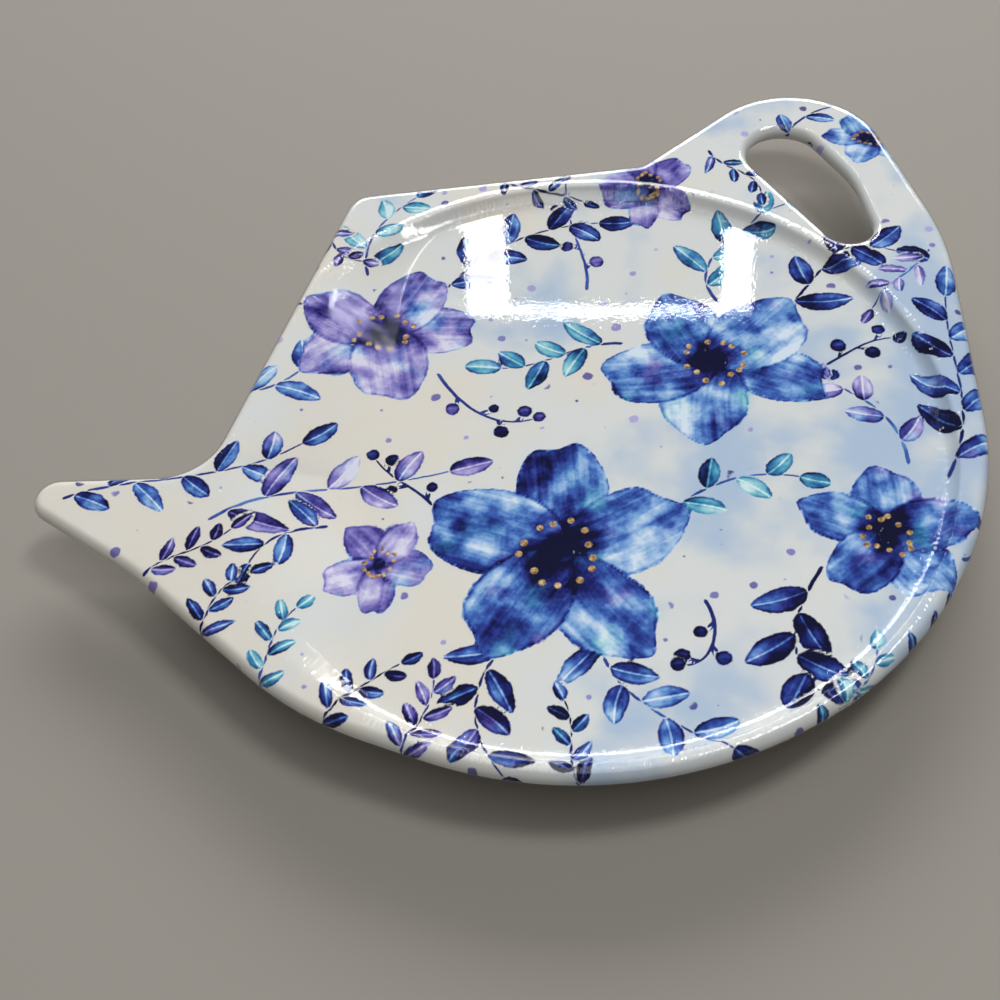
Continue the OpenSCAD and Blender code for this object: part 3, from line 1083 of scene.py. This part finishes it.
def makeFoilPrint(s):
    material, tree = newMaterial("printed_decal_foil")
    at = placeInMm(tree)
    laid = {
        name: addNode(tree, "Attribute", attribute_name="print" + name)["Fac"]
        for name in ("Edge", "Tone", "Hue", "Leaf", "Anther", "LineAcross", "LineHalf", "LineTone")
    }
    noise = {}
    for name, detail in s["detail"].items():
        cloud = {"Vector": at, "Scale": 1 / s[name + "Mm"], "Detail": detail}
        noise[name] = addNode(tree, "TexNoise", cloud)["Fac"]

    # the brush's ragged outline, and where its paint covers and pools; noise is centred on a half,
    # so half of what it adds is taken off
    wobble = s["edgeWobble"]
    tooth = s["toothWobble"]
    coarse = addNode(tree, "Math", (noise["edge"], wobble, -wobble / 2), **scaleAdd)[0]
    rag = addNode(tree, "Math", (noise["tooth"], tooth, -tooth / 2), **scaleAdd)[0]
    rag = addNode(tree, "Math", (rag, coarse), **plus)[0]
    edge = addNode(tree, "Math", (laid["Edge"], rag), **plus)[0]
    cover = addNode(tree, "MapRange", (edge, *s["coverEdge"]), **softStep)[0]
    pool = addNode(tree, "MapRange", (edge, *s["poolEdge"], s["poolDark"], 0), **softStep)[0]

    # pigment: blooms, streaks along each stroke, pools at its edges, grain of the paper
    grain = addNode(tree, "Attribute", attribute_name="printGrain")["Vector"]
    drawn = addNode(tree, "VectorMath", (grain, (s["streakDraw"], 1, 1)), **times)[0]
    cloud = {"Vector": drawn, "Scale": 1 / s["streakMm"], "Detail": 3.0}
    noise["streak"] = addNode(tree, "TexNoise", cloud)["Fac"]
    tone = laid["Tone"]
    level = 0
    for name in ("bloom", "streak", "tooth"):
        tone = addNode(tree, "Math", (noise[name], s[name + "Dark"], tone), **scaleAdd)[0]
        level -= s[name + "Dark"] / 2
    tone = addNode(tree, "Math", (tone, pool), **plus)[0]
    tone = addNode(tree, "Math", (tone, level), **plus)[0]

    # the midrib of a leaf
    side = addNode(tree, "SeparateXYZ", (grain,))["Y"]
    side = addNode(tree, "Math", (noise["tooth"], s["ribWobble"], side), **scaleAdd)[0]
    side = addNode(tree, "Math", (side, s["ribWobble"] / 2), **minus)[0]
    side = addNode(tree, "Math", (side,), **sizeOnly)[0]
    rib = addNode(tree, "MapRange", (side, *s["ribEdge"], s["ribDark"], 0), **softStep)[0]
    tone = addNode(tree, "Math", (rib, laid["Leaf"], tone), **scaleAdd)[0]

    # hue: each shape's own, drifting to violet and to green-blue within it
    hue = addNode(tree, "Math", (noise["tint"], s["tintDrift"], laid["Hue"]), **scaleAdd)[0]
    hue = addNode(tree, "Math", (hue, -s["tintDrift"] / 2), **plus)[0]
    paint = addNode(tree, "ValToRGB", (tone,), blueStops)[0]
    for side, stops in ((lilac, lilacStops), (teal, tealStops)):
        other = addNode(tree, "ValToRGB", (tone,), stops)[0]
        between = [side * h for h in s["tintFrom"]]
        share = addNode(tree, "MapRange", (hue, *between), **softStep)[0]
        paint = addNode(tree, "Mix", {0: share, 6: paint, 7: other}, **inColour)[2]

    # white paper, warmer to the left, with pale washes to the right
    east = addNode(tree, "SeparateXYZ", (at,))["X"]
    drift = addNode(tree, "Math", (east, s["eastDrift"], -s["washDrift"] / 2), **scaleAdd)[0]
    drift = addNode(tree, "Math", (noise["wash"], s["washDrift"], drift), **scaleAdd)[0]
    cool = addNode(tree, "MapRange", (drift, *s["coolFrom"]), **softStep)[0]
    papers = {0: cool, 6: hexColour(s["paperWarm"]), 7: hexColour(s["paperCool"])}
    paper = addNode(tree, "Mix", papers, **inColour)[2]
    washed = addNode(tree, "MapRange", (drift, *s["washFrom"], 0, s["washCover"]), **softStep)[0]
    paper = addNode(tree, "Mix", {0: washed, 6: paper, 7: hexColour(s["wash"])}, **inColour)[2]

    # fine splashes of paint, clear of the shapes
    cells = {"Vector": at, "Scale": 1 / s["spotMm"]}
    splash = addNode(tree, "TexVoronoi", cells, voronoi_dimensions="2D")
    picked = addNode(tree, "SeparateXYZ", (splash["Color"],))
    size = addNode(tree, "MapRange", (picked["X"], *s["spotPick"], 0.0, s["spotR"]))[0]
    away = addNode(tree, "Math", (splash["Distance"], s["spotMm"], rag), **scaleAdd)[0]
    inside = addNode(tree, "Math", (size, away), **minus)[0]
    dropped = addNode(tree, "MapRange", (inside, *s["spotEdge"]), **softStep)[0]
    away = (laid["Edge"], *s["spotClear"], s["spotCover"], 0)
    clear = addNode(tree, "MapRange", away, **softStep)[0]
    share = addNode(tree, "Math", (dropped, clear), **times)[0]
    dropTone = addNode(tree, "MapRange", (picked["Y"], 0, 1, *s["spotTone"]))[0]
    drop = addNode(tree, "ValToRGB", (dropTone,), lilacStops)[0]
    paper = addNode(tree, "Mix", {0: share, 6: paper, 7: drop}, **inColour)[2]

    # stems are thin lines
    across = addNode(tree, "Math", (rag, s["stemRag"], laid["LineAcross"]), **scaleAdd)[0]
    across = addNode(tree, "Math", (across,), **sizeOnly)[0]
    inside = addNode(tree, "Math", (laid["LineHalf"], across), **minus)[0]
    share = addNode(tree, "MapRange", (inside, *s["stemEdge"]), **softStep)[0]
    dark = s["stemDark"]
    lineTone = addNode(tree, "Math", (noise["bloom"], dark, laid["LineTone"]), **scaleAdd)[0]
    lineTone = addNode(tree, "Math", (lineTone, -dark / 2), **plus)[0]
    stem = addNode(tree, "ValToRGB", (lineTone,), blueStops)[0]
    paper = addNode(tree, "Mix", {0: share, 6: paper, 7: stem}, **inColour)[2]

    colour = addNode(tree, "Mix", {0: cover, 6: paper, 7: paint}, **inColour)[2]

    # anthers are small ochre dots
    inside = addNode(tree, "Math", (rag, s["antherRag"], laid["Anther"]), **scaleAdd)[0]
    share = addNode(tree, "MapRange", (inside, *s["antherEdge"]), **softStep)[0]
    ochre = addNode(tree, "ValToRGB", (noise["tooth"],), ochreStops)[0]
    colour = addNode(tree, "Mix", {0: share, 6: colour, 7: ochre}, **inColour)[2]
    ink = {"Base Color": colour, "Roughness": s["roughness"], "Specular IOR Level": 0.0}
    addNode(tree, "OutputMaterial", (addNode(tree, "BsdfPrincipled", ink)[0],))
    return material


# Clear melamine glaze, pressed on: thin and glassy, with fine wrinkles across the well's edge that
# tear its highlights
glazeLook = {
    "straight": 0.035,  # share mirrored seen straight on
    "roughness": 0.012,
    "rampRoughness": 0.08,  # added on the long ramp, which is less polished
    "rampSide": (0.62, 0.74),  # cosines of the angle from the ramp's middle
    "rampFrom": (34.0, 40.0),  # mm from the well's middle
    "rimR": 58.4,  # mm from the well's middle to the wrinkled edge
    "rimBand": (1.7, 2.5),  # mm to each side of it where the wrinkles fade
    "offRim": 0.005,  # share of their height that is left elsewhere
    "wrinkleMm": 0.6,
    "wrinkleDraw": 0.4,  # wrinkles are this much slower along the radius
    "highUnit": 1e-6,  # heights are in thousandths of a mm
    "wrinkleHigh": 105.0,
    "waveMm": 2.6,
    "waveHigh": 3.0,
    "peelMm": 0.55,
    "peelHigh": 2.3,
}


def makeGlaze(s):
    material, tree = newMaterial("clear_melamine_glaze")
    at = placeInMm(tree)
    flat = addNode(tree, "VectorMath", (at, (1, 1, 0)), **times)[0]
    out = addNode(tree, "VectorMath", (flat, (*fitShift, 0)), **minus)[0]
    r = addNode(tree, "VectorMath", (out,), operation="LENGTH")["Value"]
    outwards = addNode(tree, "VectorMath", (out,), operation="NORMALIZE")[0]

    # duller on the ramp
    toRamp = (*heading(math.radians(sectionSizes["rampMiddle"])), 0)
    facing = addNode(tree, "VectorMath", (outwards, toRamp), operation="DOT_PRODUCT")["Value"]
    facing = addNode(tree, "MapRange", (facing, *s["rampSide"]), **softStep)[0]
    ramp = addNode(tree, "MapRange", (r, *s["rampFrom"], 0, s["rampRoughness"]), **softStep)[0]
    rough = addNode(tree, "Math", (facing, ramp, s["roughness"]), **scaleAdd)[0]

    # wrinkles round the well's edge, then a slow wave and fine peel all over
    ring = addNode(tree, "VectorMath", (outwards, (s["rimR"],) * 3), **times)[0]
    slow = addNode(tree, "Math", (r, s["wrinkleDraw"]), **times)[0]
    radial = addNode(tree, "CombineXYZ", {"Z": slow})[0]
    drawn = addNode(tree, "VectorMath", (ring, radial), **plus)[0]
    cloud = {"Vector": drawn, "Scale": 1 / s["wrinkleMm"], "Detail": 1.0}
    wrinkle = addNode(tree, "TexNoise", cloud)["Fac"]
    off = addNode(tree, "Math", (r, s["rimR"]), **minus)[0]
    off = addNode(tree, "Math", (off,), **sizeOnly)[0]
    rim = addNode(tree, "MapRange", (off, *s["rimBand"], 1, s["offRim"]), **softStep)[0]
    rim = addNode(tree, "Math", (rim, s["wrinkleHigh"]), **times)[0]
    high = addNode(tree, "Math", (wrinkle, rim), **times)[0]
    for name, detail in (("wave", 1.0), ("peel", 0.0)):
        cloud = {"Vector": at, "Scale": 1 / s[name + "Mm"], "Detail": detail}
        part = addNode(tree, "TexNoise", cloud)["Fac"]
        high = addNode(tree, "Math", (part, s[name + "High"], high), **scaleAdd)[0]
    bump = addNode(tree, "Bump", {"Height": high, "Strength": 1.0, "Distance": s["highUnit"]})[0]

    # how much it mirrors, from straight on to grazing
    facing = addNode(tree, "LayerWeight", {"Blend": 0.5})["Facing"]
    fifth = addNode(tree, "Math", (facing, 5.0), operation="POWER")[0]
    share = addNode(tree, "Math", (fifth, 1 - s["straight"], s["straight"]), **scaleAdd)[0]
    gloss = addNode(tree, "BsdfAnisotropic", {"Roughness": rough, "Normal": bump})[0]
    mixed = addNode(tree, "MixShader", (share, addNode(tree, "BsdfTransparent")[0], gloss))[0]
    addNode(tree, "OutputMaterial", (mixed,))
    return material


melamine = makeMelamine(melamineLook)
body.data.materials.append(melamine)
footRing.data.materials.append(melamine)
foil.data.materials.append(makeFoilPrint(foilLook))
glaze.data.materials.append(makeGlaze(glazeLook))
print("materials made")


# Camera at the photograph's angle
cameraSizes = {
    "lens": 46.8,  # mm, as are the sensor and the distance
    "sensor": 36.0,
    "elevation": 53,  # degrees, as is the roll
    "roll": 7.3,
    "away": 202.5,
    "target": (-14.25, -12.8, 12.5),  # mm from the middle of the well
}


def placeCamera(s):
    data = bpy.data.cameras.new("camera")
    data.lens = s["lens"]
    data.sensor_width = s["sensor"]
    data.clip_start = 0.01
    camera = bpy.data.objects.new("camera", data)
    bpy.context.scene.collection.objects.link(camera)
    bpy.context.scene.camera = camera
    elevation = math.radians(s["elevation"])
    roll = math.radians(s["roll"])
    right = Vector((1, 0, 0))
    up = Vector((0, math.sin(elevation), math.cos(elevation)))
    back = Vector((0, -math.cos(elevation), math.sin(elevation)))
    turnedRight = right * math.cos(roll) - up * math.sin(roll)
    turnedUp = right * math.sin(roll) + up * math.cos(roll)
    turn = Matrix((turnedRight, turnedUp, back)).transposed().to_4x4()
    target = Vector(toFrame([s["target"]])[0])
    camera.matrix_world = Matrix.Translation(target + back * s["away"] * mm) @ turn


placeCamera(cameraSizes)

# Floor and light: plain, soft, mostly from above, with a square of slim tubes behind for the gloss.
# Lengths are in metres
stageSizes = {
    "floorR": 3.0,
    "floorSteps": 96,
    "floorRoughness": 0.8,
    "floorColour": "928D85",
    "worldColour": "F1F1F2",
    "worldStrength": 0.16,
    "frameAt": (0.0658, 0.3706, 0.3753),
    "frameFaces": (0.01, 0.03, 0.01),
    "frameWide": 0.1275,
    "frameHigh": 0.04,
    "tubeLeft": 0.0185,
    "tubeRight": 0.013,
    "tubeAcross": 0.0032,
    "tubeRadiance": 16.0,
    "lowRadiance": 3.5,
}

# at in metres, then width, height and power: each faces the dish
softLamps = {
    "top_soft": ((-0.01, -0.2, 1.3), 0.64, 1.58, 4.9),
    "right_high": ((0.52, 0.2, 1.3), 0.3, 0.35, 6.2),
    "back_low": ((0.4, 2.4, 1.22), 2.1, 0.8, 64.0),
}


def makeFloor(s):
    bm = bmesh.new()
    bmesh.ops.create_circle(bm, cap_ends=True, segments=s["floorSteps"], radius=s["floorR"])
    floor = placeMesh("floor", bm)
    material, tree = newMaterial("matt_card")
    card = {"Base Color": hexColour(s["floorColour"]), "Roughness": s["floorRoughness"]}
    addNode(tree, "OutputMaterial", (addNode(tree, "BsdfPrincipled", card)[0],))
    floor.data.materials.append(material)


def addLamp(name, at, towards, size, power):
    data = bpy.data.lights.new(name, "AREA")
    data.shape = "RECTANGLE"
    data.size = size[0]
    data.size_y = size[1]
    data.energy = power
    lamp = bpy.data.objects.new(name, data)
    lamp.location = at
    lamp.rotation_euler = (Vector(towards) - Vector(at)).to_track_quat("-Z", "Y").to_euler()
    bpy.context.scene.collection.objects.link(lamp)


def placeLights(s):
    world = bpy.data.worlds.new("studio")
    bpy.context.scene.world = world
    world.use_nodes = True
    tree = world.node_tree
    tree.nodes["Background"].inputs["Color"].default_value = hexColour(s["worldColour"])
    tree.nodes["Background"].inputs["Strength"].default_value = s["worldStrength"]
    for name, (at, wide, high, power) in softLamps.items():
        addLamp(name, at, (0, 0, 0), (wide, high), power)
    middle = Vector(s["frameAt"])
    faces = (Vector(s["frameFaces"]) - middle).normalized()
    right = faces.cross(Vector((0, 0, 1))).normalized() * -1
    up = faces.cross(right)
    leftWide = s["tubeLeft"]
    rightWide = s["tubeRight"]
    between = s["frameWide"] - leftWide - rightWide
    halfHigh = (s["frameHigh"] - s["tubeAcross"]) / 2
    shift = right * (leftWide - rightWide) / 2
    tubes = [
        ("tube_left", -right * (s["frameWide"] - leftWide) / 2, (leftWide, s["frameHigh"])),
        ("tube_right", right * (s["frameWide"] - rightWide) / 2, (rightWide, s["frameHigh"])),
        ("tube_low", shift - up * halfHigh, (between, s["tubeAcross"])),
        ("tube_high", shift + up * halfHigh, (between, s["tubeAcross"])),
    ]
    for name, aside, (wide, high) in tubes:
        radiance = s["lowRadiance"] if name == "tube_low" else s["tubeRadiance"]
        at = middle + aside
        addLamp(name, at, at + faces, (wide, high), radiance * math.pi * wide * high)


makeFloor(stageSizes)
placeLights(stageSizes)
bpy.context.scene.view_settings.view_transform = "Standard"
print("stage set")
